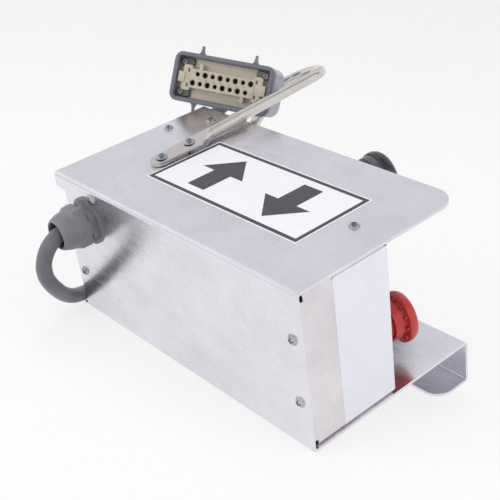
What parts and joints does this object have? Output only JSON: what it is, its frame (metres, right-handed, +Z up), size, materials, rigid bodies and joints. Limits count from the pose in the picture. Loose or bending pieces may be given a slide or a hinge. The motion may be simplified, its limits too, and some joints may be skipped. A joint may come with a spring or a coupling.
{
  "type": "scissor lift control box",
  "caption": "Bent sheet control box with rail hook, carry handle, cable and plug, stop button, joystick, toggle switches and horn button.",
  "frame": {"origin": "centre of the rail channel of the hook under the box", "axes": "+X along the rail and the box's length, +Y from the back wall to the control face, +Z up, from the hook to the roof"},
  "size_m": [0.351, 0.3037, 0.2045],
  "materials": {
    "sheet": "brushed satin",
    "zinc": "zinc plated",
    "steel_tube": "satin",
    "gland_nylon": "matte",
    "rubber": "matte",
    "cable_jacket": "matte",
    "die_cast": "powder coat",
    "insert_plastic": "matte",
    "brass": "satin",
    "red_plastic": "gloss",
    "black_plastic": "matte",
    "grip_plastic": "satin",
    "ring_plastic": "satin",
    "chrome": "polished",
    "blue_plastic": "gloss",
    "green_lens": "gloss",
    "board": "satin",
    "terminal_plastic": "matte"
  },
  "bodies": {
    "box": {"outer_cover": "sheet", "chassis": "sheet", "cover_screws": "zinc", "clinch_nuts": "zinc", "earth_screw": "zinc", "handle": "steel_tube", "handle_screws": "zinc", "handle_nuts": "zinc", "gland_body": "gland_nylon", "gland_nut": "gland_nylon", "gland_seal": "rubber", "gland_washer": "rubber", "gland_locknut": "gland_nylon", "cable": "cable_jacket", "plug_hood": "die_cast", "plug_insert": "insert_plastic", "plug_contacts": "brass", "plug_pegs": "zinc", "plug_screws": "zinc", "plug_gland": "gland_nylon", "stop_collar": "red_plastic", "stop_locknut": "black_plastic", "stop_contact_block": "black_plastic", "joystick_base": "black_plastic", "joystick_screws": "zinc", "joystick_housing": "black_plastic", "joystick_pin": "zinc", "joystick_boot": "rubber", "function_switch": "black_plastic", "function_nut": "zinc", "speed_switch": "black_plastic", "speed_nut": "zinc", "horn_bezel": "chrome", "horn_switch": "black_plastic", "indicator_lamps": "green_lens", "circuit_board": "board", "board_standoffs": "brass", "board_screws": "zinc", "terminal_block": "terminal_plastic"},
    "stop_stem": {"stop_plunger": "red_plastic"},
    "stop_cap": {"stop_head": "red_plastic"},
    "stick": {"joystick_shaft": "zinc", "joystick_grip": "grip_plastic", "joystick_ring": "ring_plastic", "joystick_cap": "grip_plastic", "rocker_pin": "zinc", "trigger_pin": "zinc"},
    "rocker": {"thumb_rocker": "ring_plastic"},
    "trigger": {"enable_trigger": "red_plastic"},
    "function_bat": {"function_lever": "chrome"},
    "speed_bat": {"speed_lever": "chrome"},
    "horn_key": {"horn_button": "blue_plastic"}
  },
  "joints": [
    {"name": "stop_press", "type": "slide", "parent": "box", "child": "stop_stem", "axis": [-0.2435, -0.9699, 0], "range_m": [0, 0.005], "stiffness_N_per_m": 300},
    {"name": "stop_twist", "type": "hinge", "parent": "stop_stem", "child": "stop_cap", "pos_m": [0.11283, -0.03231, 0.0531], "axis": [0.2435, 0.9699, 0], "range_deg": [0, 30], "stiffness_Nm_per_rad": 0.02},
    {"name": "joystick_tilt", "type": "hinge", "parent": "box", "child": "stick", "pos_m": [-0.00111, -0.03154, 0.1001], "axis": [-0.9699, 0.2435, 0], "range_deg": [-18, 18], "stiffness_Nm_per_rad": 0.8, "deforming": ["joystick_boot"]},
    {"name": "thumb_steer", "type": "hinge", "parent": "stick", "child": "rocker", "pos_m": [0.02154, 0.05867, 0.1001], "axis": [0, 0, 1], "range_deg": [-12, 12], "stiffness_Nm_per_rad": 0.02},
    {"name": "trigger_squeeze", "type": "hinge", "parent": "stick", "child": "trigger", "pos_m": [0.01764, 0.04315, 0.0846], "axis": [-0.9699, 0.2435, 0], "range_deg": [0, 3.3], "stiffness_Nm_per_rad": 0.03},
    {"name": "function_toggle", "type": "hinge", "parent": "box", "child": "function_bat", "pos_m": [-0.04567, -0.01107, 0.1021], "axis": [-0.9699, 0.2435, 0], "range_deg": [-12, 12], "stiffness_Nm_per_rad": 0.02},
    {"name": "speed_toggle", "type": "hinge", "parent": "box", "child": "speed_bat", "pos_m": [-0.07282, -0.00425, 0.1021], "axis": [-0.9699, 0.2435, 0], "range_deg": [-12, 12]},
    {"name": "horn_press", "type": "slide", "parent": "box", "child": "horn_key", "axis": [-0.2435, -0.9699, 0], "range_m": [0, 0.0025], "stiffness_N_per_m": 300}
  ]
}
